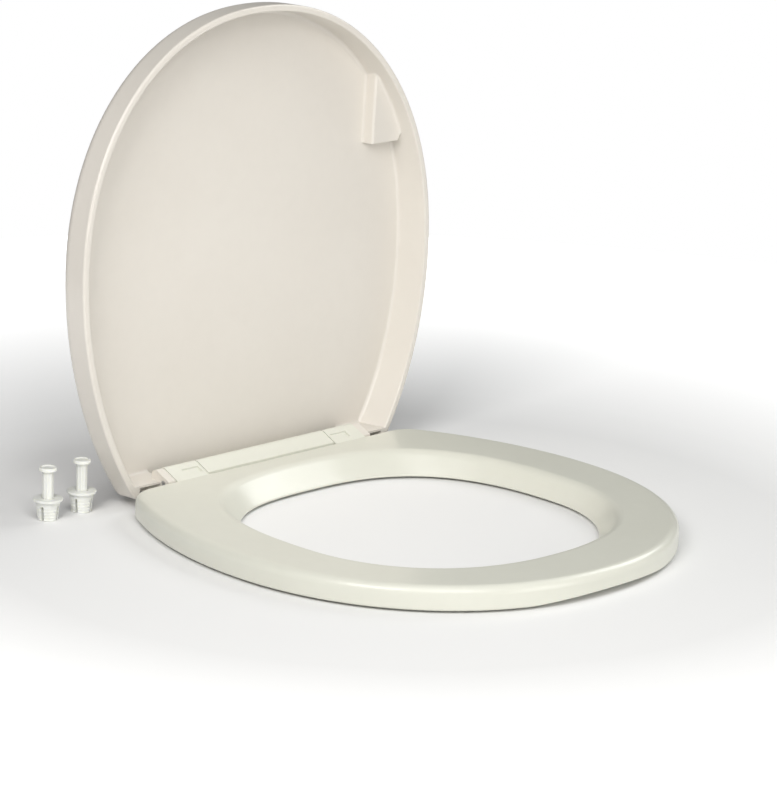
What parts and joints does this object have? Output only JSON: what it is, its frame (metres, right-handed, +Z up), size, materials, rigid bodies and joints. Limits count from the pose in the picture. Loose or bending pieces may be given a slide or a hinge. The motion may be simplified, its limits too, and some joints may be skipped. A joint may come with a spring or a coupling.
{
  "type": "toilet seat",
  "caption": "Compact toilet seat ring with a hinged open lid on a short rear hinge base, with loose push-in expansion plugs standing beside it.",
  "frame": {"origin": "midway between the two plug holes of the hinge base, on its underside, which rests on the bowl's rim", "axes": "+Z up, +X along the hinge to the sitter's left, -Y towards the front of the seat"},
  "size_m": [0.3808, 0.402, 0.3551],
  "materials": {
    "bone_plastic": "glossy moulded plastic",
    "white_nylon": "satin translucent nylon",
    "pin_steel": "ground stainless",
    "bumper_rubber": "soft matt"
  },
  "bodies": {
    "base": {"hinge_base": "bone_plastic", "hinge_pin_left": "pin_steel", "hinge_pin_right": "pin_steel"},
    "seat": {"seat_ring": "bone_plastic", "seat_bumper_front_left": "bumper_rubber", "seat_bumper_front_right": "bumper_rubber", "seat_bumper_rear_left": "bumper_rubber", "seat_bumper_rear_right": "bumper_rubber"},
    "lid": {"lid_shell": "bone_plastic"},
    "plug_left": {"plug_sleeve_left": "white_nylon"},
    "plug_left_pin": {"plug_pin_left": "white_nylon"},
    "plug_right": {"plug_sleeve_right": "white_nylon"},
    "plug_right_pin": {"plug_pin_right": "white_nylon"}
  },
  "joints": [
    {"name": "seat_hinge", "type": "hinge", "parent": "base", "child": "seat", "pos_m": [0, -0.043, 0.0165], "axis": [1, 0, 0], "range_deg": [-90, 0]},
    {"name": "lid_hinge", "type": "hinge", "parent": "base", "child": "lid", "pos_m": [0, -0.043, 0.0165], "axis": [1, 0, 0], "range_deg": [0, 92]},
    {"name": "plug_left_lift", "type": "slide", "parent": "base", "child": "plug_left", "axis": [0, 0, 1], "range_m": [0, 0.015]},
    {"name": "plug_left_drive", "type": "slide", "parent": "plug_left", "child": "plug_left_pin", "axis": [0, 0, -1], "range_m": [0, 0.02]},
    {"name": "plug_right_lift", "type": "slide", "parent": "base", "child": "plug_right", "axis": [0, 0, 1], "range_m": [0, 0.015]},
    {"name": "plug_right_drive", "type": "slide", "parent": "plug_right", "child": "plug_right_pin", "axis": [0, 0, -1], "range_m": [0, 0.02]}
  ]
}
